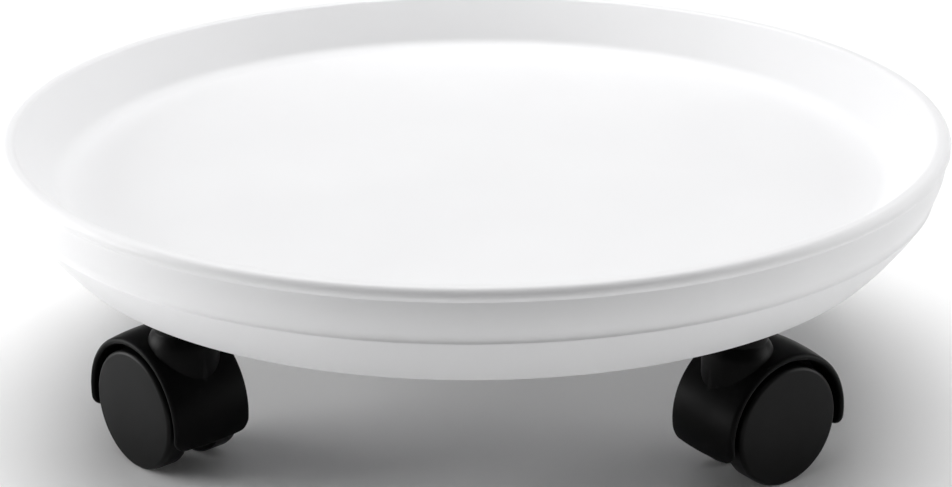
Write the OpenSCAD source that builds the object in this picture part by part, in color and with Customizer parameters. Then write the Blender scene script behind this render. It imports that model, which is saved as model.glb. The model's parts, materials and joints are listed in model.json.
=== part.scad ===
// Plant pot caddy: a round moulded tray on four hooded twin-wheel casters.
// Millimetres, +Z up. The origin is on the ground, under the middle of the tray.
// Each caster is drawn about its swivel axis, with its stem leading along +X.

/* [Tray] */
// Outside diameter of the tray, at its lip
tray_d = 305; // [290:1:340]
// Height of the tray, from the skirt's lower edge to the top of the rim
tray_h = 34; // [33:0.5:36]
// Depth of the dish, from the top of the rim to its floor
dish_depth = 16.3; // [15:0.1:17]
// Thickness of the walls
wall = 2.6; // [2.2:0.1:2.8]
// Thickness of the dish floor
floor_t = 2.8; // [2.4:0.1:3.2]
// Lean of the dish wall above the horizontal, in degrees
wall_lean = 51; // [48:1:54]
// Radius of the lip's roll
lip_r = 2.4; // [2.2:0.1:2.8]
// How far the skirt's lower edge lies inside the lip, along a radius
skirt_inset = 16.2; // [14:0.1:17]
// Number of radial ribs under the floor
rib_count = 16; // [8:8:24]

/* [Casters] */
// Diameter of the circle on which the casters swivel
caster_circle_d = 236; // [220:1:240]
// Diameter of a wheel
wheel_d = 38; // [37:0.5:38.5]
// Width of a wheel
wheel_w = 8; // [7:0.5:8]
// Width of the hood's web between the two wheels
web_w = 10.6; // [10:0.1:11]
// Distance from the swivel axis back to the axle
trail = 9; // [8:0.5:10]
// Thickness of the hood's shell
hood_t = 1.9; // [1.6:0.1:2.2]
// Gap between the wheel and the hood
hood_gap = 2; // [1.6:0.1:2.2]
// Height from the ground to the skirt's lower edge
ride_h = 53.5; // [53:0.5:55]
// Diameter of the stem where it enters the tray
stem_d = 8; // [7.6:0.1:8]
// Diameter of the stem's journal, on which the hood turns
journal_d = 7; // [6.4:0.1:7]
// Diameter of the axle
axle_d = 6; // [5:0.5:6]

/* [Rest pose] */
// Heading of the front left caster, in degrees from +X
front_left_heading = -44; // [-180:1:180]
// Heading of the front right caster
front_right_heading = -141; // [-180:1:180]
// Heading of the rear right caster
rear_right_heading = -62; // [-180:1:180]
// Heading of the rear left caster
rear_left_heading = -155; // [-180:1:180]

/* [Hidden] */
$fn = 96;
// How far a cutting shape runs past the face that it cuts, and a joining shape into its neighbour
overlap = 1;

corners = ["front_left", "front_right", "rear_right", "rear_left"];
corner_angles = [-135, -45, 45, 135];
headings = [front_left_heading, front_right_heading, rear_right_heading, rear_left_heading];
pieces = ["stem", "grip_ring", "hood", "axle", "left_wheel", "right_wheel"];

// Tray levels and radii
rim_r = tray_d / 2;
rim_z = ride_h + tray_h;
floor_z = rim_z - dish_depth;
under_z = floor_z - floor_t;
plate_mid_z = floor_z - floor_t / 2;
lip_mid = [rim_r - lip_r, rim_z - lip_r];
lip_end_angle = -20;
roll_r = 2.2;
crest_w = 1.1;
roll_mid = [lip_mid.x - crest_w, rim_z - roll_r];
corner_r = 8;

// The dish wall is a straight line, tangent to the floor's fillet and to the rim's inner roll
wall_out = [sin(wall_lean), -cos(wall_lean)];
wall_start_z = floor_z + corner_r * (1 - cos(wall_lean));
wall_rise = roll_mid.y + roll_r * cos(wall_lean) - wall_start_z;
wall_start = [roll_mid.x - roll_r * sin(wall_lean) - wall_rise / tan(wall_lean), wall_start_z];
fillet_mid = wall_start - corner_r * wall_out;
wall_back = wall_start + wall * wall_out;

// Outside of the skirt: an upper band below the lip, a ledge, and a lower band
band_top = [rim_r - 1.1, lip_mid.y - 1.9];
band_end = [rim_r - 5, lip_mid.y - 14.5];
band_bulge = 1.2;
ledge = [rim_r - 4.2, band_end.y - 0.8];
lower_top = ledge - [0.1, 0.6];
lower_end = [rim_r - skirt_inset, ride_h + 0.6];
lower_bulge = 0.5;
lower_run = (lower_end - lower_top) / norm(lower_end - lower_top);
lower_in = [lower_run.y, -lower_run.x];
channel_z = rim_z - 4.5;

// Underside ribs and sockets
rib_t = 2;
rib_z = ride_h + 7.5;
rib_foot_z = ride_h + 3;
rib_top_z = rim_z - 8.5;
rib_turn_r = rim_r - 24.5;
ring_rs = [20, 48, 76, 104];
socket_r = 10;
socket_z = ride_h + 0.5;
socket_depth = 13;
socket_clear = 0.3;
bore_r = stem_d / 2 + socket_clear;
brace_l = 34;

// Caster
wheel_r = wheel_d / 2;
caster_r = caster_circle_d / 2;
wheel_side_gap = 0.3;
wheel_in = web_w / 2 + wheel_side_gap;
wheel_out = wheel_in + wheel_w;
wheel_edge_r = 1.4;
wheel_face_t = 2.2;
wheel_rim_t = 3.2;
hub_r = 6.5;
spoke_t = 1.4;
spoke_count = 6;
run_clear = 0.05;
pocket_r = wheel_r + hood_gap;
hood_r = pocket_r + hood_t;
hood_over = 0.1;
hood_half_w = wheel_out + hood_over;
hood_edge_r = 1.2;
hood_crown = 1.2;
hood_lead_drop = 7;
hood_trail_drop = 6;
hood_corner_r = 4;
hood_top_z = 2 * wheel_r + 10;
axle_boss_r = 9;
axle_end_gap = 0.6;
axle_half_l = wheel_out - wheel_face_t - axle_end_gap;
neck_r = 8.5;
neck_foot_r = 11;
neck_foot_z = wheel_r + 8;
neck_shoulder_z = wheel_r + 21.5;
neck_cone_h = 3.5;

// Stem
collar_r = 7;
collar_t = 1.5;
collar_z = socket_z - collar_t;
collar_gap = 0.2;
neck_top_z = collar_z - collar_gap;
journal_z = wheel_r + 9;
journal_end_gap = 0.5;
stem_top_z = socket_z + socket_depth - 1;
groove_z = socket_z + 6;
groove_w = 3.4;
groove_depth = 0.8;
groove_r = stem_d / 2 - groove_depth;
ring_in_r = groove_r + 0.1;
ring_w = 3;
ring_split = 2;
chamfer = 0.6;

// Points along a circular arc, from angle a0 to angle a1
function arc(mid, r, a0, a1, n) =
    [for (i = [0 : n]) let (a = a0 + (a1 - a0) * i / n) mid + r * [cos(a), sin(a)]];

// Points along a shallow curve from p to q that bulges to the left of the way from p to q
function bow(p, q, bulge, n) =
    let (d = (q - p) / norm(q - p), side = [-d.y, d.x])
    [for (i = [0 : n]) let (t = i / n) p + t * (q - p) + 4 * bulge * t * (1 - t) * side];

// The back of the dish wall at height z
function wall_back_at(z) = [wall_back.x + (z - wall_back.y) / tan(wall_lean), z];

// The inside of the skirt's lower band at height z
function skirt_inside_at(z) =
    let (p = lower_end + wall * lower_in) p + lower_run * (z - p.y) / lower_run.y;

// Half section of the tray: the dish, over the rim, down the skirt, and back underneath
function tray_section() = concat(
    [[0, floor_z]],
    arc(fillet_mid, corner_r, -90, wall_lean - 90, 6),
    arc(roll_mid, roll_r, 90 + wall_lean, 90, 4),
    arc(lip_mid, lip_r, 90, lip_end_angle, 10),
    bow(band_top, band_end, band_bulge, 7),
    [ledge],
    bow(lower_top, lower_end, lower_bulge, 5),
    [[lower_end.x - 0.6, ride_h], skirt_inside_at(ride_h)],
    [lower_top + wall * lower_in],
    bow(band_end - [wall, -1], [band_top.x - wall, channel_z - 2], -band_bulge, 5),
    [[band_top.x - wall - 0.4, channel_z], wall_back_at(channel_z)],
    [wall_back_at(under_z), [0, under_z]]
);

// One radial rib, reaching into the channel between the dish wall and the skirt
function rib_outline() = [
    [ring_rs[0], plate_mid_z],
    [wall_back_at(under_z).x, plate_mid_z],
    wall_back_at(rib_top_z) - [overlap, 0],
    [band_top.x - wall / 2, rib_top_z],
    lower_top + wall / 2 * lower_in,
    skirt_inside_at(rib_foot_z) + [overlap, 0],
    [rib_turn_r, rib_z],
    [ring_rs[0], rib_z]
];

module tube(outer_r, inner_r, h) {
    difference() {
        cylinder(r = outer_r, h = h);
        translate([0, 0, -overlap]) cylinder(r = inner_r, h = h + 2 * overlap);
    }
}

// Puts its children on each of the four swivel axes
module at_swivels() {
    for (a = corner_angles) rotate(a) translate([caster_r, 0, 0]) children();
}

module ribs() {
    for (i = [0 : rib_count - 1])
        rotate(i * 360 / rib_count) translate([0, rib_t / 2, 0])
            rotate([90, 0, 0]) linear_extrude(rib_t) polygon(rib_outline());
    for (r = ring_rs)
        translate([0, 0, rib_z]) tube(r + rib_t / 2, r - rib_t / 2, plate_mid_z - rib_z);
}

// A stem socket with a short brace across the rib
module socket() {
    translate([0, 0, socket_z]) cylinder(r = socket_r, h = plate_mid_z - socket_z);
    translate([-rib_t / 2, -brace_l / 2, rib_z])
        cube([rib_t, brace_l, plate_mid_z - rib_z]);
}

module socket_bore() {
    translate([0, 0, socket_z - overlap]) cylinder(r = bore_r, h = socket_depth + overlap);
    translate([0, 0, socket_z]) cylinder(r1 = bore_r + chamfer, r2 = bore_r, h = chamfer);
}

module tray() {
    color("whitesmoke") difference() {
        union() {
            rotate_extrude() polygon(tray_section());
            ribs();
            at_swivels() socket();
        }
        at_swivels() socket_bore();
    }
}

// A shaft with a chamfer at each end, standing on its lower end
module shaft(r, h) {
    cylinder(r1 = r - chamfer, r2 = r, h = chamfer);
    translate([0, 0, chamfer]) cylinder(r = r, h = h - 2 * chamfer);
    translate([0, 0, h - chamfer]) cylinder(r1 = r, r2 = r - chamfer, h = chamfer);
}

module stem() {
    color("silver") difference() {
        union() {
            translate([0, 0, journal_z]) shaft(journal_d / 2, collar_z - journal_z + overlap);
            translate([0, 0, collar_z]) cylinder(r = collar_r, h = collar_t);
            translate([0, 0, collar_z]) shaft(stem_d / 2, stem_top_z - collar_z);
        }
        translate([0, 0, groove_z]) tube(stem_d / 2 + overlap, groove_r, groove_w);
    }
}

// Split spring ring that grips the socket
module grip_ring() {
    color("gray") translate([0, 0, groove_z + (groove_w - ring_w) / 2]) difference() {
        tube(bore_r, ring_in_r, ring_w);
        translate([0, -ring_split / 2, -overlap])
            cube([bore_r + overlap, ring_split, ring_w + 2 * overlap]);
    }
}

// Turns its children so that their Z axis lies along the axle, pointing to the left wheel
module on_axle() {
    translate([-trail, 0, wheel_r]) rotate([-90, 0, 0]) children();
}

// Solid drum of the hood, with a crown across its width and rounded edges
module hood_drum() {
    edge_z = hood_half_w - hood_edge_r;
    edge_mid_r = hood_r - hood_edge_r;
    on_axle() rotate_extrude() polygon(concat(
        [[0, -hood_half_w]],
        arc([edge_mid_r, -edge_z], hood_edge_r, -90, 0, 4),
        bow([hood_r, -edge_z], [hood_r, edge_z], -hood_crown, 8),
        arc([edge_mid_r, edge_z], hood_edge_r, 0, 90, 4),
        [[0, hood_half_w]]
    ));
}

// One half of the hood's reach, seen along the way it rolls: its lower corners are round
module hood_reach(low_z, length) {
    mid_y = hood_half_w - hood_corner_r;
    turn_r = hood_corner_r + hood_over;
    rotate([90, 0, 90]) linear_extrude(length) polygon(concat(
        arc([-mid_y, low_z + hood_corner_r], turn_r, 180, 270, 5),
        arc([mid_y, low_z + hood_corner_r], turn_r, 270, 360, 5),
        [[mid_y + turn_r, hood_top_z], [-mid_y - turn_r, hood_top_z]]
    ));
}

module hood() {
    reach = hood_r + hood_crown + overlap;
    color("dimgray") difference() {
        union() {
            intersection() {
                hood_drum();
                union() {
                    translate([-trail, 0, 0]) hood_reach(wheel_r - hood_lead_drop, reach);
                    translate([-trail - reach, 0, 0])
                        hood_reach(wheel_r - hood_trail_drop, reach);
                }
            }
            on_axle() translate([0, 0, -web_w / 2]) cylinder(r = axle_boss_r, h = web_w);
            translate([0, 0, neck_foot_z])
                cylinder(r = neck_foot_r, h = neck_shoulder_z - neck_foot_z);
            translate([0, 0, neck_shoulder_z])
                cylinder(r1 = neck_foot_r, r2 = neck_r, h = neck_cone_h);
            translate([0, 0, neck_shoulder_z])
                cylinder(r = neck_r, h = neck_top_z - neck_shoulder_z);
        }
        for (side = [0, 180])
            on_axle() rotate([side, 0, 0]) translate([0, 0, web_w / 2])
                cylinder(r = pocket_r, h = hood_half_w);
        on_axle() translate([0, 0, -web_w]) cylinder(r = axle_d / 2, h = 2 * web_w);
        translate([0, 0, journal_z - journal_end_gap])
            cylinder(r = journal_d / 2 + run_clear, h = neck_top_z - journal_z + 2 * overlap);
    }
}

module axle() {
    color("silver") on_axle() translate([0, 0, -axle_half_l]) shaft(axle_d / 2, 2 * axle_half_l);
}

// One wheel: a tread and a plain outer face, open and ribbed on the side next to the web
module wheel() {
    inner_face = wheel_out - wheel_face_t;
    axle_bore_r = axle_d / 2 + run_clear;
    bore_end = inner_face + 0.2;
    edge_mid = [wheel_r - wheel_edge_r, wheel_out - wheel_edge_r];
    rim_in_r = wheel_r - wheel_rim_t;
    color("#303030") {
        rotate_extrude() polygon(concat(
            [[0, bore_end], [axle_bore_r, bore_end], [axle_bore_r, wheel_in], [hub_r, wheel_in]],
            [[hub_r, inner_face], [rim_in_r, inner_face], [rim_in_r, wheel_in]],
            [[wheel_r - chamfer, wheel_in], [wheel_r, wheel_in + chamfer]],
            arc(edge_mid, wheel_edge_r, 0, 90, 5),
            [[0, wheel_out]]
        ));
        for (i = [0 : spoke_count - 1])
            rotate((i + 0.5) * 360 / spoke_count)
                translate([hub_r - 0.5, -spoke_t / 2, wheel_in + chamfer])
                    cube([rim_in_r - hub_r + 1, spoke_t, inner_face - wheel_in]);
    }
}

module left_wheel() {
    on_axle() wheel();
}

module right_wheel() {
    on_axle() rotate([180, 0, 0]) wheel();
}

// Puts its children at caster i, turned to its heading
module at_caster(i) {
    rotate(corner_angles[i]) translate([caster_r, 0, 0])
        rotate(headings[i] - corner_angles[i]) children();
}

tray();
for (i = [0 : 3]) {
    corner = corners[i];
    at_caster(i) stem();
    at_caster(i) grip_ring();
    at_caster(i) hood();
    at_caster(i) axle();
    at_caster(i) left_wheel();
    at_caster(i) right_wheel();
}
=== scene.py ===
import json
import math

import bmesh
import bpy
from mathutils import Matrix, Vector


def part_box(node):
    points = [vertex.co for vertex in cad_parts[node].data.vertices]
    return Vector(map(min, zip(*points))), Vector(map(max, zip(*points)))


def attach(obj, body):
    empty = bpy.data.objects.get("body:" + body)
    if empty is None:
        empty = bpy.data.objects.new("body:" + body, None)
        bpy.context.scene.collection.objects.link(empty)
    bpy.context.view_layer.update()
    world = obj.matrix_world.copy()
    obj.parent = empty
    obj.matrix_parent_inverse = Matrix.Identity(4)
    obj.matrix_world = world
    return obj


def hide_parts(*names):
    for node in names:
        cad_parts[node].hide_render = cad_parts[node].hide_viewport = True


# Looks for a plant pot caddy: a moulded white tray on four hooded twin-wheel casters.
# Every length is in metres, in the CAD model's frame.

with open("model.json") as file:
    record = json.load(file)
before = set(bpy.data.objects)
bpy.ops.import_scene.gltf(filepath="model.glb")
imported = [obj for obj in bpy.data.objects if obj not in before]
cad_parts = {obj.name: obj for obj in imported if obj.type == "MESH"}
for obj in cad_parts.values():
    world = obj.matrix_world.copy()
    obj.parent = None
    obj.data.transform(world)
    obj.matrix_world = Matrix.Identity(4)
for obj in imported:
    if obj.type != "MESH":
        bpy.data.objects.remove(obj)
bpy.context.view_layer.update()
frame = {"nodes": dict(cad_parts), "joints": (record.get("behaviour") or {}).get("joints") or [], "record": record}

MM = 0.001
TINY = 1e-7
CORNERS = ["front_left", "front_right", "rear_right", "rear_left"]
JOINTS = {joint["name"]: joint for joint in frame["joints"]}


# ---------------------------------------------------------------- sizes read from the frame

TRAY_LOW, TRAY_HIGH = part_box("tray")
RIM_R = (TRAY_HIGH.x - TRAY_LOW.x) / 2
RIM_Z = TRAY_HIGH.z
RIDE_H = TRAY_LOW.z
FLOOR_Z = frame["record"]["mounts"][0]["pos_m"][2]
SWIVELS = [Vector(JOINTS[f"{corner}_swivel"]["pos_m"]) for corner in CORNERS]
WHEEL_HUBS = [Vector(JOINTS[f"{corner}_left_roll"]["pos_m"]) for corner in CORNERS]
WHEEL_AXES = [Vector(JOINTS[f"{corner}_left_roll"]["axis"]) for corner in CORNERS]
WHEEL_R = WHEEL_HUBS[0].z
TRAIL = (SWIVELS[0].xy - WHEEL_HUBS[0].xy).length
STEM_FOOT_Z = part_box("front_left_stem")[0].z


# ---------------------------------------------------------------- sizes of the tray

# Dish, wall and lip
WALL = 2.6 * MM
FLOOR_T = 2.8 * MM
WALL_LEAN = math.radians(51)
DISH_CORNER_R = 8 * MM
LIP_R = 2.4 * MM
ROLL_R = 2.2 * MM
CREST_W = 1.1 * MM
FLOOR_RADII = [0, 60 * MM, 115 * MM]
SECTION_FILLET = 0.45 * MM

# Skirt, in from the lip's edge and down from the lip's middle
BAND_TOP_IN, BAND_TOP_DROP = 1.1 * MM, 1.9 * MM
BAND_END_IN, BAND_END_DROP = 5 * MM, 14.5 * MM
BAND_BULGE = 1.2 * MM
LEDGE_IN, LEDGE_DROP = 4.2 * MM, 0.8 * MM
LEDGE_ROUND = Vector((0.1 * MM, 0.6 * MM))
COVE_BEND = Vector((0.1 * MM, 0.2 * MM))
COVE_END = Vector((0.2 * MM, 0))
LOWER_BULGE = 0.5 * MM
SKIRT_INSET = 16.2 * MM
FOOT_EDGE = 0.6 * MM
CHANNEL_DROP = 4.5 * MM
CHANNEL_CORNER = 2 * MM
CHANNEL_EDGE = 0.4 * MM
INSIDE_RISE = 1 * MM

# Ribs, and the stub left by the moulding gate
RIB_T = 2 * MM
RIB_TIP_HALF = 0.8 * MM
RIB_RISE = 7.5 * MM
RIB_COUNT = 16
RING_RADII = [104 * MM, 76 * MM, 48 * MM, 20 * MM]
RADIAL_STEP = 0.2 * MM
RADIAL_TOP_DROP = 8.5 * MM
RADIAL_FOOT_RISE = 3 * MM
RADIAL_HEEL_IN = 24.5 * MM
RADIAL_EDGE = 0.4 * MM
RIB_BITE = 1 * MM
GATE_R, GATE_TIP_R, GATE_L = 2.2 * MM, 1.8 * MM, 0.7 * MM

# Stem sockets
SOCKET_R = 10 * MM
SOCKET_TAPER = 0.3 * MM
SOCKET_FILLET = 2 * MM
SOCKET_EDGE = 0.5 * MM
SOCKET_Z = RIDE_H + 0.5 * MM
SOCKET_DEPTH = 13 * MM
SOCKET_BORE_R = 4.3 * MM
SOCKET_LEAD = 0.8 * MM
BRACE_L = 34 * MM
BRACE_STEP = 0.3 * MM

# How far a cutting shape runs past what it cuts
CUT_PAST = 2 * MM

# Lines of the section, as (radius, height), worked out as the CAD model does
LEAN_SIN, LEAN_COS, LEAN_TAN = math.sin(WALL_LEAN), math.cos(WALL_LEAN), math.tan(WALL_LEAN)
LIP_MID = Vector((RIM_R - LIP_R, RIM_Z - LIP_R))
ROLL_MID = Vector((LIP_MID.x - CREST_W, RIM_Z - ROLL_R))
WALL_START_Z = FLOOR_Z + DISH_CORNER_R * (1 - LEAN_COS)
WALL_RISE = ROLL_MID.y + ROLL_R * LEAN_COS - WALL_START_Z
WALL_START = Vector((ROLL_MID.x - ROLL_R * LEAN_SIN - WALL_RISE / LEAN_TAN, WALL_START_Z))
WALL_OUT = Vector((LEAN_SIN, -LEAN_COS))
WALL_BACK = WALL_START + WALL * WALL_OUT
FILLET_MID = WALL_START - DISH_CORNER_R * WALL_OUT
BAND_TOP = Vector((RIM_R - BAND_TOP_IN, LIP_MID.y - BAND_TOP_DROP))
BAND_END = Vector((RIM_R - BAND_END_IN, LIP_MID.y - BAND_END_DROP))
LEDGE = Vector((RIM_R - LEDGE_IN, BAND_END.y - LEDGE_DROP))
LOWER_TOP = LEDGE - LEDGE_ROUND
LOWER_END = Vector((RIM_R - SKIRT_INSET, RIDE_H + FOOT_EDGE))
LOWER_RUN = (LOWER_END - LOWER_TOP).normalized()
LOWER_IN = Vector((LOWER_RUN.y, -LOWER_RUN.x))
CHANNEL_Z = RIM_Z - CHANNEL_DROP
UNDER_Z = FLOOR_Z - FLOOR_T
MID_FLOOR_Z = FLOOR_Z - FLOOR_T / 2
RIB_Z = RIDE_H + RIB_RISE


# ---------------------------------------------------------------- sizes of a caster

# Wheel, in distances along the axle from its middle
WHEEL_IN = 5.6 * MM
WHEEL_OUT = 13.6 * MM
WHEEL_FACE_T = 2.2 * MM
WHEEL_RIM_T = 3.2 * MM
WHEEL_HUB_R = 6.5 * MM
WHEEL_EDGE_R = 1.4 * MM
WHEEL_BACK_EDGE = 0.6 * MM
WHEEL_FILLET = 0.35 * MM
AXLE_R = 3 * MM
WHEEL_BORE_R = AXLE_R + 0.05 * MM
WHEEL_BORE_PAST = 0.2 * MM
SPOKE_COUNT = 6
SPOKE_HALF = 0.7 * MM
SPOKE_BITE = 0.5 * MM
SPOKE_SET_IN = 0.6 * MM

# Hood: the shell round the wheels, the web between them and the neck on the stem
HUB = Vector((-TRAIL, 0, WHEEL_R))
POCKET_R = WHEEL_R + 2 * MM
HOOD_T = 1.9 * MM
HOOD_R = POCKET_R + HOOD_T
HOOD_HALF = WHEEL_OUT + 0.1 * MM
HOOD_CROWN = 1.2 * MM
HOOD_CORNER_R = 4 * MM
HOOD_EDGE_R = 1.0 * MM
LEAD_DROP = 7 * MM
TRAIL_DROP = 6 * MM
WEB_HALF = 5.3 * MM
WEB_EDGE = 0.35 * MM
WEB_TUCK = 2
AXLE_BOSS_R = 9 * MM
AXLE_BORE_HALF = 20 * MM
NECK_R = 8.5 * MM
NECK_FOOT_R = 11 * MM
NECK_FLARE = NECK_FOOT_R - NECK_R
NECK_FOOT_Z = WHEEL_R + 8 * MM
NECK_SHOULDER_Z = WHEEL_R + 21.5 * MM
NECK_SHOULDER = Vector((0.3 * MM, 1 * MM))
NECK_HOLLOW = 0.5 * MM
NECK_TOP_Z = RIDE_H - 1.2 * MM
NECK_EDGE = 0.6 * MM
JOURNAL_BORE_R = 3.55 * MM
JOURNAL_BORE_Z = STEM_FOOT_Z - 0.5 * MM

# How finely the shell is divided: across it, at each end, and along the rest
ACROSS_STEPS = 30
END_STEPS = 12
SWEEP_STEP = 1.0 * MM
THINNEST_END = 0.04


# ---------------------------------------------------------------- outlines

def arc(mid, radius, start, end, steps):
    """Points along an arc, angles in degrees."""
    angles = [math.radians(start + (end - start) * i / steps) for i in range(steps + 1)]
    return [(mid[0] + radius * math.cos(a), mid[1] + radius * math.sin(a)) for a in angles]


def bow(p, q, bulge, steps):
    """Points along a shallow curve from p to q that bulges to the left of the way there."""
    p, q = Vector(p), Vector(q)
    way = (q - p).normalized()
    side = Vector((-way.y, way.x))
    points = []
    for i in range(steps + 1):
        t = i / steps
        points.append(tuple(p + t * (q - p) + 4 * bulge * t * (1 - t) * side))
    return points


def curve(start, middle, end, steps):
    """Points along a quadratic curve that leaves and arrives in line with its middle point."""
    at = [i / steps for i in range(steps + 1)]
    return [tuple((1 - t) ** 2 * start + 2 * t * (1 - t) * middle + t * t * end) for t in at]


def rectangle(low_x, high_x, low_y, high_y):
    return [(low_x, low_y), (high_x, low_y), (high_x, high_y), (low_x, high_y)]


def rounded(points, radius):
    """Rounds each true corner of an open outline, and leaves the turns inside its curves."""
    steps, least_turn, most_of_side = 4, math.radians(25), 0.45
    following = points[1:] + [None]
    points = [p for p, q in zip(points, following) if q is None or math.dist(p, q) > TINY]
    out = [points[0]]
    for before, here, after in zip(points, points[1:], points[2:]):
        a, b, c = Vector(before), Vector(here), Vector(after)
        into, away = b - a, c - b
        turn = abs(into.angle_signed(away))
        if turn < least_turn:
            out.append(here)
            continue
        shorter = most_of_side * min(into.length, away.length)
        reach = min(radius * math.tan(turn / 2), shorter)
        out += curve(b - into.normalized() * reach, b, b + away.normalized() * reach, steps)
    out.append(points[-1])
    return out


# ---------------------------------------------------------------- mesh making

def new_object(name, bm):
    """An object from a bmesh, with doubled points merged and every face turned outward."""
    bmesh.ops.remove_doubles(bm, verts=bm.verts, dist=1e-6)
    bmesh.ops.dissolve_degenerate(bm, edges=bm.edges, dist=TINY)
    bmesh.ops.recalc_face_normals(bm, faces=bm.faces)
    mesh = bpy.data.meshes.new(name)
    bm.to_mesh(mesh)
    bm.free()
    piece = bpy.data.objects.new(name, mesh)
    bpy.context.scene.collection.objects.link(piece)
    return piece


def shade(mesh, sharp_angle):
    """Smooth shading, broken along edges that turn by more than the sharp angle."""
    bm = bmesh.new()
    bm.from_mesh(mesh)
    limit = math.radians(sharp_angle)
    for face in bm.faces:
        face.smooth = True
    for edge in bm.edges:
        edge.smooth = len(edge.link_faces) == 2 and edge.calc_face_angle(0) < limit
    bm.to_mesh(mesh)
    bm.free()


def turned(name, section, segments, axis="Z"):
    """A solid of revolution. The section is a closed loop of (radius, height) points."""
    bm = bmesh.new()
    rings = []
    for radius, height in section:
        if radius < TINY:
            rings.append([bm.verts.new((0, 0, height))] * segments)
            continue
        ring = []
        for i in range(segments):
            a = 2 * math.pi * i / segments
            ring.append(bm.verts.new((radius * math.cos(a), radius * math.sin(a), height)))
        rings.append(ring)
    for ring, following in zip(rings, rings[1:] + rings[:1]):
        for i in range(segments):
            j = (i + 1) % segments
            corners = list(dict.fromkeys([ring[i], ring[j], following[j], following[i]]))
            if len(corners) > 2:
                bm.faces.new(corners)
    if axis == "Y":
        bmesh.ops.rotate(bm, verts=bm.verts, matrix=Matrix.Rotation(math.radians(-90), 3, "X"))
    return new_object(name, bm)


def cylinder(name, radius, low, high, segments, axis="Z"):
    section = [(0, low), (radius, low), (radius, high), (0, high)]
    return turned(name, section, segments, axis)


def prism(name, outline, low, high, axis="Y", edge=0.0):
    """An extruded outline. For axis Y the outline lies in X and Z; for axis Z, in X and Y."""

    def placed(point, level):
        return (point[0], level, point[1]) if axis == "Y" else (point[0], point[1], level)

    bm = bmesh.new()
    bottom = [bm.verts.new(placed(p, low)) for p in outline]
    top = [bm.verts.new(placed(p, high)) for p in outline]
    bm.faces.new(bottom)
    bm.faces.new(top)
    for i in range(len(outline)):
        j = (i + 1) % len(outline)
        bm.faces.new([bottom[i], bottom[j], top[j], top[i]])
    bmesh.ops.recalc_face_normals(bm, faces=bm.faces)
    if edge:
        rims = [e for e in bm.edges if e.calc_face_angle(0) > math.radians(60)]
        bmesh.ops.bevel(bm, geom=rims, offset=edge, segments=3, profile=0.5, affect="EDGES")
    return new_object(name, bm)


def merged(pieces):
    """One object in place of several, each where it stands."""
    bpy.context.view_layer.update()
    bm = bmesh.new()
    for piece in pieces:
        mesh = piece.data.copy()
        mesh.transform(piece.matrix_world)
        bm.from_mesh(mesh)
        bpy.data.meshes.remove(mesh)
    name = pieces[0].name
    for piece in pieces:
        bpy.data.objects.remove(piece)
    return new_object(name, bm)


def cut(piece, tool, operation):
    """Applies a boolean of the tool to the piece, and removes the tool."""
    modifier = piece.modifiers.new("cut", "BOOLEAN")
    modifier.object = tool
    modifier.operation = operation
    modifier.solver = "EXACT"
    bpy.context.view_layer.update()
    evaluated = piece.evaluated_get(bpy.context.evaluated_depsgraph_get())
    mesh = bpy.data.meshes.new_from_object(evaluated)
    piece.modifiers.clear()
    old = piece.data
    piece.data = mesh
    bpy.data.meshes.remove(old)
    bpy.data.objects.remove(tool)


# ---------------------------------------------------------------- tray

def wall_back_at(z):
    """The point on the back of the dish's sloping wall at a height."""
    return (WALL_BACK.x + (z - WALL_BACK.y) / LEAN_TAN, z)


def skirt_inside_at(z):
    """The point on the inside of the skirt's lower part at a height."""
    point = LOWER_TOP + WALL * LOWER_IN
    return tuple(point + LOWER_RUN * (z - point.y) / LOWER_RUN.y)


def dish_outline():
    """From the middle of the dish floor up the wall and over the lip."""
    lean = math.degrees(WALL_LEAN)
    outline = [(radius, FLOOR_Z) for radius in FLOOR_RADII]
    outline += arc(FILLET_MID, DISH_CORNER_R, -90, lean - 90, 12)
    outline += arc(ROLL_MID, ROLL_R, 90 + lean, 90, 8)
    outline += arc(LIP_MID, LIP_R, 90, -20, 18)
    return outline


def skirt_outline():
    """Down the skirt's upper band, round the cove at the ledge, down to the foot and back up."""
    band_steps, cove_starts = 14, 11
    outline = bow(BAND_TOP, BAND_END, BAND_BULGE, band_steps)[:cove_starts]
    outline += curve(Vector(outline[-1]), BAND_END + COVE_BEND, LEDGE + COVE_END, 6)[1:]
    outline += bow(LOWER_TOP, LOWER_END, LOWER_BULGE, 10)
    outline += [(LOWER_END.x - FOOT_EDGE, RIDE_H), skirt_inside_at(RIDE_H)]
    outline += [tuple(LOWER_TOP + WALL * LOWER_IN)]
    inside_low = BAND_END - Vector((WALL, -INSIDE_RISE))
    inside_high = (BAND_TOP.x - WALL, CHANNEL_Z - CHANNEL_CORNER)
    outline += bow(inside_low, inside_high, -BAND_BULGE, 8)
    outline += [(BAND_TOP.x - WALL - CHANNEL_EDGE, CHANNEL_Z), wall_back_at(CHANNEL_Z)]
    return outline


def underside_outline():
    """In from the wall's back to the middle, down and up round each ring rib."""
    outline = [wall_back_at(UNDER_Z)]
    for r in RING_RADII:
        outline += [(r + RIB_T / 2, UNDER_Z), (r + RIB_TIP_HALF, RIB_Z),
                    (r - RIB_TIP_HALF, RIB_Z), (r - RIB_T / 2, UNDER_Z)]
    outline += [(GATE_R, UNDER_Z), (GATE_TIP_R, UNDER_Z - GATE_L), (0, UNDER_Z - GATE_L)]
    return outline


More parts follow.
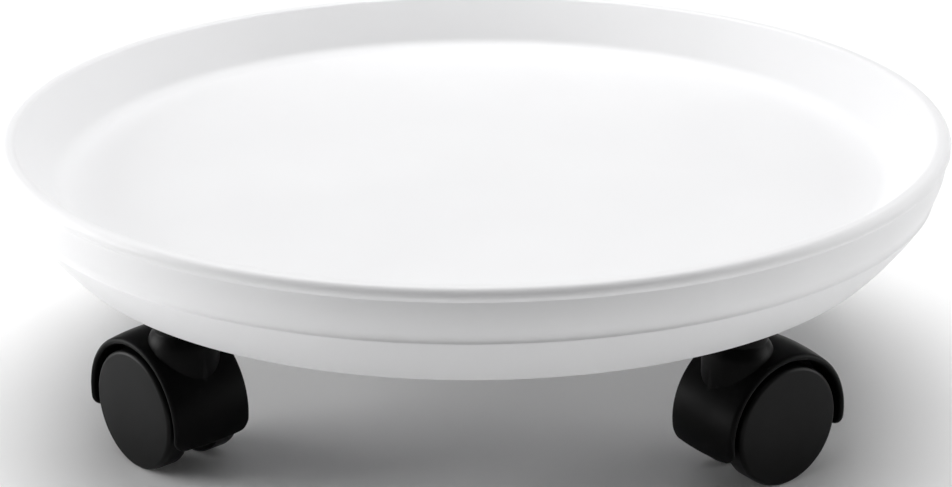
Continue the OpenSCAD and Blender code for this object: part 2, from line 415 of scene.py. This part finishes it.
def radial_rib():
    """One rib, in the XZ plane, from the inner ring out into the skirt."""
    low = RIB_Z + RADIAL_STEP
    top = RIM_Z - RADIAL_TOP_DROP
    foot = skirt_inside_at(RIDE_H + RADIAL_FOOT_RISE)
    outline = [
        (RING_RADII[-1], MID_FLOOR_Z), (wall_back_at(UNDER_Z)[0], MID_FLOOR_Z),
        (wall_back_at(top)[0] - RIB_BITE, top), (BAND_TOP.x - WALL / 2, top),
        tuple(LOWER_TOP + WALL / 2 * LOWER_IN), (foot[0] + RIB_BITE, foot[1]),
        (RIM_R - RADIAL_HEEL_IN, low), (RING_RADII[-1], low),
    ]
    return prism("rib", outline, -RIB_T / 2, RIB_T / 2, edge=RADIAL_EDGE)


def socket_post():
    """The outside of a stem socket, about the Z axis, flared into the dish floor."""
    flare_z = UNDER_Z - SOCKET_FILLET
    section = [(0, SOCKET_Z), (SOCKET_R - SOCKET_TAPER, SOCKET_Z), (SOCKET_R, flare_z)]
    section += arc((SOCKET_R + SOCKET_FILLET, flare_z), SOCKET_FILLET, 180, 90, 5)
    section += [(SOCKET_R + SOCKET_FILLET, MID_FLOOR_Z), (0, MID_FLOOR_Z)]
    return turned("socket", rounded(section, SOCKET_EDGE), 64)


def socket_brace():
    """A short rib across a socket, at right angles to the radial one that it stands on."""
    outline = rectangle(-RIB_T / 2, RIB_T / 2, -BRACE_L / 2, BRACE_L / 2)
    return prism("brace", outline, RIB_Z + BRACE_STEP, MID_FLOOR_Z, axis="Z")


def socket_bore():
    """The hole that a stem stands in, with a chamfer at its mouth."""
    mouth_z, end_z = SOCKET_Z - CUT_PAST, SOCKET_Z + SOCKET_DEPTH
    section = [(0, mouth_z), (SOCKET_BORE_R + SOCKET_LEAD + CUT_PAST, mouth_z),
               (SOCKET_BORE_R, SOCKET_Z + SOCKET_LEAD), (SOCKET_BORE_R, end_z), (0, end_z)]
    return turned("bore", section, 48)


def make_tray():
    outline = dish_outline() + skirt_outline() + underside_outline()
    body = turned("tray_body", rounded(outline, SECTION_FILLET), 224)
    ribs, posts, braces, bores = [], [], [], []
    for i in range(RIB_COUNT):
        ribs.append(radial_rib())
        ribs[-1].matrix_world = Matrix.Rotation(2 * math.pi * i / RIB_COUNT, 4, "Z")
    for swivel in SWIVELS:
        place = Matrix.Translation((swivel.x, swivel.y, 0))
        outward = Matrix.Rotation(math.atan2(swivel.y, swivel.x), 4, "Z")
        posts.append(socket_post())
        posts[-1].matrix_world = place
        braces.append(socket_brace())
        braces[-1].matrix_world = place @ outward
        bores.append(socket_bore())
        bores[-1].matrix_world = place
    for added in (ribs, posts, braces):
        cut(body, merged(added), "UNION")
    cut(body, merged(bores), "DIFFERENCE")
    shade(body.data, 30)
    return body


# ---------------------------------------------------------------- caster parts

# A hood is made about its swivel axis, with its wheels behind it on the -X side.

def spaced(length, end_zone, fine, coarse):
    """Distances from 0 to length, close together in the end zones."""
    head = [end_zone * (1 - math.cos(math.pi / 2 * (i + 1) / fine)) for i in range(fine)]
    steps = max(1, round((length - 2 * end_zone) / coarse))
    middle = [end_zone + (length - 2 * end_zone) * i / steps for i in range(1, steps)]
    return [0.0] + head + middle + [length - d for d in reversed(head)] + [length]


def ease(distance, radius):
    """How far a quarter-round edge has risen at a distance in from its end, from 0 to 1."""
    if distance >= radius:
        return 1.0
    return math.sqrt(max(0.0, 1 - ((radius - distance) / radius) ** 2))


def hood_shell():
    """The hood's curved shell, swept round the axle, with rounded ends, corners and sides."""
    bm = bmesh.new()
    start = math.asin(-LEAD_DROP / HOOD_R)
    length = (math.pi + math.asin(TRAIL_DROP / HOOD_R) - start) * HOOD_R
    across = [(1 - math.cos(math.pi * i / ACROSS_STEPS)) / 2 for i in range(ACROSS_STEPS + 1)]
    loops = []
    for s in spaced(length, HOOD_CORNER_R, END_STEPS, SWEEP_STEP):
        angle = start + s / HOOD_R
        from_end = min(s, length - s)
        half = HOOD_HALF - HOOD_CORNER_R * (1 - ease(from_end, HOOD_CORNER_R))
        end_share = max(THINNEST_END, ease(from_end, HOOD_EDGE_R))
        outer, inner = [], []
        for share in across:
            y = -half + 2 * half * share
            crest = HOOD_R + HOOD_CROWN * (1 - (y / HOOD_HALF) ** 2)
            mid, depth = (crest + POCKET_R) / 2, (crest - POCKET_R) / 2
            depth *= end_share * ease(half - abs(y), HOOD_EDGE_R)
            for side, radius in ((outer, mid + depth), (inner, mid - depth)):
                side.append(HUB + Vector((radius * math.cos(angle), y, radius * math.sin(angle))))
        loops.append([bm.verts.new(p) for p in outer + inner[-2:0:-1]])
    for loop, following in zip(loops, loops[1:]):
        for i in range(len(loop)):
            j = (i + 1) % len(loop)
            bm.faces.new([loop[i], loop[j], following[j], following[i]])
    bm.faces.new(loops[0])
    bm.faces.new(loops[-1])
    return new_object("hood", bm)


def hood_web():
    """The flat web between the wheels, which carries the axle and the stem."""

    def degrees_down(drop, radius):
        return math.degrees(math.asin(drop / radius))

    reach = POCKET_R + HOOD_T / 2
    lead = degrees_down(LEAD_DROP, reach) - WEB_TUCK
    trail = degrees_down(TRAIL_DROP, reach) - WEB_TUCK
    boss_start = 180 + degrees_down(TRAIL_DROP, AXLE_BOSS_R)
    boss_end = 360 - degrees_down(LEAD_DROP, AXLE_BOSS_R)
    outline = arc(HUB.xz, reach, -lead, 180 + trail, 64)
    outline += arc(HUB.xz, AXLE_BOSS_R, boss_start, boss_end, 16)
    return prism("web", outline, -WEB_HALF, WEB_HALF, edge=WEB_EDGE)


def hood_neck():
    """The upright neck that turns on the stem, flared where it meets the shell."""
    section = [(0, NECK_FOOT_Z), (NECK_FOOT_R, NECK_FOOT_Z)]
    section += [(NECK_FOOT_R, NECK_SHOULDER_Z - NECK_SHOULDER.y)]
    section += bow((NECK_FOOT_R - NECK_SHOULDER.x, NECK_SHOULDER_Z),
                   (NECK_R, NECK_SHOULDER_Z + 2 * NECK_FLARE), -NECK_HOLLOW, 8)
    section += [(NECK_R, NECK_TOP_Z), (0, NECK_TOP_Z)]
    return turned("neck", rounded(section, NECK_EDGE), 96)


def make_hood():
    neck = hood_neck()
    for half_turn in (math.pi, 0):
        pocket = cylinder("pocket", POCKET_R, WEB_HALF, 2 * HOOD_HALF, 128, axis="Y")
        pocket.data.transform(Matrix.Translation(HUB) @ Matrix.Rotation(half_turn, 4, "Z"))
        cut(neck, pocket, "DIFFERENCE")
    hood = hood_shell()
    cut(hood, hood_web(), "UNION")
    cut(hood, neck, "UNION")
    cut(hood, cylinder("stem_bore", JOURNAL_BORE_R, JOURNAL_BORE_Z, RIDE_H, 64), "DIFFERENCE")
    axle_bore = cylinder("axle_bore", AXLE_R, -AXLE_BORE_HALF, AXLE_BORE_HALF, 48, axis="Y")
    axle_bore.data.transform(Matrix.Translation(HUB))
    cut(hood, axle_bore, "DIFFERENCE")
    shade(hood.data, 28)
    return hood


def wheel_section():
    """Half of the wheel's section: the bore, the hub, the hollow back, the tread and the face."""
    face_in = WHEEL_OUT - WHEEL_FACE_T
    bore_end = face_in + WHEEL_BORE_PAST
    rim_in = WHEEL_R - WHEEL_RIM_T
    section = [
        (0, bore_end), (WHEEL_BORE_R, bore_end), (WHEEL_BORE_R, WHEEL_IN),
        (WHEEL_HUB_R, WHEEL_IN), (WHEEL_HUB_R, face_in), (rim_in, face_in), (rim_in, WHEEL_IN),
        (WHEEL_R - WHEEL_BACK_EDGE, WHEEL_IN), (WHEEL_R, WHEEL_IN + WHEEL_BACK_EDGE),
    ]
    edge_mid = (WHEEL_R - WHEEL_EDGE_R, WHEEL_OUT - WHEEL_EDGE_R)
    section += arc(edge_mid, WHEEL_EDGE_R, 0, 90, 10)
    section += [(WHEEL_R / 2, WHEEL_OUT), (0, WHEEL_OUT)]
    return rounded(section, WHEEL_FILLET)


def make_wheel():
    """The wheel on the +Y side, about its own hub, with spokes across its hollow back."""
    wheel = turned("wheel", wheel_section(), 160, axis="Y")
    outline = rectangle(WHEEL_HUB_R - SPOKE_BITE, WHEEL_R - WHEEL_RIM_T + SPOKE_BITE,
                        -SPOKE_HALF, SPOKE_HALF)
    spoke_end = WHEEL_OUT - WHEEL_FACE_T + SPOKE_SET_IN
    spokes = []
    for i in range(SPOKE_COUNT):
        spokes.append(prism("spoke", outline, WHEEL_IN + SPOKE_SET_IN, spoke_end))
        turn = 2 * math.pi * (i + 0.5) / SPOKE_COUNT
        spokes[-1].matrix_world = Matrix.Rotation(turn, 4, "Y")
    cut(wheel, merged(spokes), "UNION")
    shade(wheel.data, 32)
    return wheel


# ---------------------------------------------------------------- materials

# Nearly all of a noise texture's values lie between the first two; its peaks end at the third.
NOISE_LOW, NOISE_HIGH, NOISE_PEAK = 0.3, 0.7, 0.8

# A Mix node's colour sockets go by number, since its sockets of other types share their names.
MIX_A, MIX_B, MIX_RESULT = 6, 7, 2

GRAIN_DEPTH = 0.02 * MM
COOL_WHITE, WARM_DUST = (1, 1, 1.012), (1, 0.98, 0.95)


class Nodes:
    """A short way to write a material's node tree."""

    def __init__(self, name):
        self.material = bpy.data.materials.new(name)
        self.material.use_nodes = True
        self.tree = self.material.node_tree
        self.shader = self.tree.nodes["Principled BSDF"]

    def add(self, kind, inputs, **settings):
        node = self.tree.nodes.new(kind)
        for key, value in settings.items():
            setattr(node, key, value)
        for key, value in inputs.items():
            if isinstance(value, bpy.types.NodeSocket):
                self.tree.links.new(value, node.inputs[key])
            else:
                node.inputs[key].default_value = value
        return node

    def place(self):
        return self.add("ShaderNodeTexCoord", {}).outputs["Object"]

    def noise(self, scale, detail=2.0, rough=0.5):
        inputs = {"Vector": self.place(), "Scale": scale, "Detail": detail, "Roughness": rough}
        return self.add("ShaderNodeTexNoise", inputs).outputs["Fac"]

    def span(self, value, low, high, out_low, out_high):
        inputs = {"Value": value, "From Min": low, "From Max": high, "To Min": out_low,
                  "To Max": out_high}
        return self.add("ShaderNodeMapRange", inputs).outputs["Result"]

    def spread(self, noise, out_low=0, out_high=1):
        """A noise stretched over a range."""
        return self.span(noise, NOISE_LOW, NOISE_HIGH, out_low, out_high)

    def times(self, a, b):
        return self.add("ShaderNodeMath", {0: a, 1: b}, operation="MULTIPLY").outputs[0]

    def specks(self, noise, threshold, strength):
        """Only a noise's peaks, from 0 to the strength."""
        return self.times(self.span(noise, threshold, NOISE_PEAK, 0, 1), strength)

    def blend(self, factor, a, b):
        inputs = {"Factor": factor, MIX_A: a, MIX_B: b}
        return self.add("ShaderNodeMix", inputs, data_type="RGBA").outputs[MIX_RESULT]

    def bump(self, height, strength):
        inputs = {"Height": height, "Strength": strength, "Distance": GRAIN_DEPTH}
        return self.add("ShaderNodeBump", inputs).outputs["Normal"]

    def edges(self, low, high):
        """How convex the surface is, from 0 to 1."""
        pointiness = self.add("ShaderNodeNewGeometry", {}).outputs["Pointiness"]
        return self.span(pointiness, low, high, 0, 1)

    def finish(self, linked, constants):
        for key, value in linked.items():
            self.tree.links.new(value, self.shader.inputs[key])
        for key, value in constants.items():
            self.shader.inputs[key].default_value = value
        return self.material


def grey(value, tint=(1, 1, 1)):
    return (value * tint[0], value * tint[1], value * tint[2], 1)


def tray_plastic():
    """White polypropylene with a satin finish: faint flow mottle, dust and fine scuffs."""
    n = Nodes("tray_plastic")
    mottle = n.spread(n.noise(9))
    colour = n.blend(mottle, grey(0.79, COOL_WHITE), grey(0.82, (1, 1, 1.010)))
    dust = n.specks(n.noise(900), threshold=0.64, strength=0.05)
    colour = n.blend(dust, colour, grey(0.66, WARM_DUST))
    rough = n.spread(n.noise(60, detail=6, rough=0.7), 0.38, 0.46)
    normal = n.bump(n.noise(2400), strength=0.05)
    return n.finish({"Base Color": colour, "Roughness": rough, "Normal": normal},
                    {"IOR": 1.49, "Specular IOR Level": 0.3})


def black_plastic(name, base, roughness, grain_scale, gloss, wear):
    """Black moulded nylon: fine spark grain, faint dust, and edges rubbed a little lighter."""
    n = Nodes(name)
    cloud = n.spread(n.noise(70, detail=4, rough=0.6))
    colour = n.blend(cloud, grey(base * 0.8), grey(base * 1.3, (1, 1, 1.04)))
    dust = n.specks(n.noise(1400, detail=3, rough=0.7), threshold=0.60, strength=0.12)
    colour = n.blend(dust, colour, grey(base * 3 + 0.01, WARM_DUST))
    patches = n.span(n.noise(400, detail=3), 0.35, 0.65, 0.2, 1)
    worn = n.times(n.times(n.edges(0.53, 0.62), patches), wear)
    colour = n.blend(worn, colour, grey(0.09))
    rough = n.spread(n.noise(45, detail=5, rough=0.65), *roughness)
    normal = n.bump(n.noise(grain_scale), strength=0.35)
    return n.finish({"Base Color": colour, "Roughness": rough, "Normal": normal},
                    {"IOR": 1.5, "Specular IOR Level": gloss})


def turned_steel(name, base, roughness):
    """Zinc-plated turned steel: fine tool rings round the Z axis and a slightly uneven bloom."""
    n = Nodes(name)
    ripple = {"Vector": n.place(), "Scale": 900.0, "Distortion": 1.5, "Detail": 2.0}
    rings = n.add("ShaderNodeTexWave", ripple, bands_direction="Z").outputs["Fac"]
    bloom = n.noise(260, detail=4, rough=0.6)
    colour = n.blend(n.spread(bloom), grey(base * 0.82, (1, 1, 1.02)),
                     grey(base, (1, 0.99, 0.96)))
    rough = n.spread(bloom, *roughness)
    normal = n.bump(rings, strength=0.25)
    return n.finish({"Base Color": colour, "Roughness": rough, "Normal": normal},
                    {"Metallic": 1.0})


# ---------------------------------------------------------------- stage

# Name, watts, size and place of each light
SOFTBOXES = [
    ("front_softbox", 1.3, (1.4, 1.0), (0.0, -0.2, 1.3)),
    ("back_softbox", 34.5, (1.6, 1.2), (0.0, 0.55, 1.75)),
    ("left_softbox", 17.5, (0.9, 0.9), (-1.2, 0.0, 0.2)),
    ("right_softbox", 8.6, (0.9, 0.9), (1.2, 0.1, 0.2)),
]
LIGHT_TARGET = Vector((0, 0, 0.07))
STUDIO_HALF = 6

# The world's strength at the horizon, and from the height where its slope has faded
HORIZON, OVERHEAD, FADED_AT = 0.28, 0.06, 0.3

CAMERA_TURN = math.radians(3.7)
CAMERA_AWAY, CAMERA_HEIGHT = 0.7257, 0.3196
CAMERA_PITCH, CAMERA_ROLL = math.radians(20.92), math.radians(-0.33)
CAMERA_SENSOR, CAMERA_LENS = 36, 88.3


def make_floor():
    """A wide sheet of matt white paper under the wheels."""
    bm = bmesh.new()
    bmesh.ops.create_grid(bm, x_segments=1, y_segments=1, size=STUDIO_HALF)
    floor = new_object("studio_floor", bm)
    n = Nodes("studio_floor")
    paper = n.blend(n.spread(n.noise(3, detail=3)), grey(0.88), grey(0.9))
    finish = n.finish({"Base Color": paper}, {"Roughness": 0.9, "Specular IOR Level": 0.1})
    floor.data.materials.append(finish)


def add_softbox(name, power, size, at):
    data = bpy.data.lights.new(name, "AREA")
    data.shape = "RECTANGLE"
    data.size, data.size_y = size
    data.energy = power
    light = bpy.data.objects.new(name, data)
    light.location = at
    way = LIGHT_TARGET - Vector(at)
    light.rotation_euler = way.to_track_quat("-Z", "Y").to_euler()
    bpy.context.scene.collection.objects.link(light)


def make_world():
    """White surroundings, pale at the horizon and dim above, so that the skirt shades."""
    world = bpy.data.worlds.new("studio")
    bpy.context.scene.world = world
    world.use_nodes = True
    tree = world.node_tree
    background = tree.nodes["Background"]
    place = tree.nodes.new("ShaderNodeTexCoord")
    split = tree.nodes.new("ShaderNodeSeparateXYZ")
    span = tree.nodes.new("ShaderNodeMapRange")
    span.inputs["From Min"].default_value = 0.0
    span.inputs["From Max"].default_value = FADED_AT
    span.inputs["To Min"].default_value = HORIZON
    span.inputs["To Max"].default_value = OVERHEAD
    tree.links.new(place.outputs["Generated"], split.inputs[0])
    tree.links.new(split.outputs["Z"], span.inputs["Value"])
    tree.links.new(span.outputs["Result"], background.inputs["Strength"])
    background.inputs["Color"].default_value = (1, 1, 1, 1)


def make_camera():
    """Looks down at the caddy from its front, from a few degrees round to one side."""
    data = bpy.data.cameras.new("camera")
    data.sensor_width = CAMERA_SENSOR
    data.lens = CAMERA_LENS
    camera = bpy.data.objects.new("camera", data)
    camera.matrix_world = (
        Matrix.Rotation(CAMERA_TURN, 4, "Z")
        @ Matrix.Translation((0, -CAMERA_AWAY, CAMERA_HEIGHT))
        @ Matrix.Rotation(math.pi / 2 - CAMERA_PITCH, 4, "X")
        @ Matrix.Rotation(CAMERA_ROLL, 4, "Z"))
    bpy.context.scene.collection.objects.link(camera)
    bpy.context.scene.camera = camera


# ---------------------------------------------------------------- the caddy

def copy_of(piece, name):
    """Another object with the same mesh."""
    twin = bpy.data.objects.new(name, piece.data)
    bpy.context.scene.collection.objects.link(twin)
    return twin


def coat(mesh, finish):
    mesh.materials.clear()
    mesh.materials.append(finish)


def build():
    tray_finish = tray_plastic()
    hood_finish = black_plastic("hood_plastic", base=0.0018, roughness=(0.38, 0.46),
                                grain_scale=2200, gloss=0.07, wear=0.08)
    wheel_finish = black_plastic("wheel_plastic", base=0.0030, roughness=(0.32, 0.42),
                                 grain_scale=3000, gloss=0.11, wear=0.12)
    steel = turned_steel("steel_pin", base=0.62, roughness=(0.24, 0.40))
    spring = turned_steel("spring_steel", base=0.35, roughness=(0.30, 0.50))

    tray, hood, wheel = make_tray(), make_hood(), make_wheel()
    for piece, finish in ((tray, tray_finish), (hood, hood_finish), (wheel, wheel_finish)):
        coat(piece.data, finish)

    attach(tray, "tray")
    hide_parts("tray")

    for corner, swivel, hub, axis in zip(CORNERS, SWIVELS, WHEEL_HUBS, WHEEL_AXES):
        heading = Matrix.Rotation(math.atan2(axis.y, axis.x) - math.pi / 2, 4, "Z")
        body = copy_of(hood, f"{corner}_hood_body")
        body.matrix_world = Matrix.Translation((swivel.x, swivel.y, 0)) @ heading
        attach(body, f"{corner}_caster")
        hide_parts(f"{corner}_hood")
        for side, turn in (("left", 0), ("right", math.pi)):
            tyre = copy_of(wheel, f"{corner}_{side}_wheel_body")
            tyre.matrix_world = Matrix.Translation(hub) @ heading @ Matrix.Rotation(turn, 4, "Z")
            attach(tyre, f"{corner}_{side}_wheel")
            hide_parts(f"{corner}_{side}_wheel")
        for part, finish in (("stem", steel), ("axle", steel), ("grip_ring", spring)):
            coat(frame["nodes"][f"{corner}_{part}"].data, finish)

    for pattern in (hood, wheel):
        bpy.data.objects.remove(pattern)


make_camera()
make_floor()
make_world()
for softbox in SOFTBOXES:
    add_softbox(*softbox)
bpy.context.scene.view_settings.view_transform = "Standard"
build()
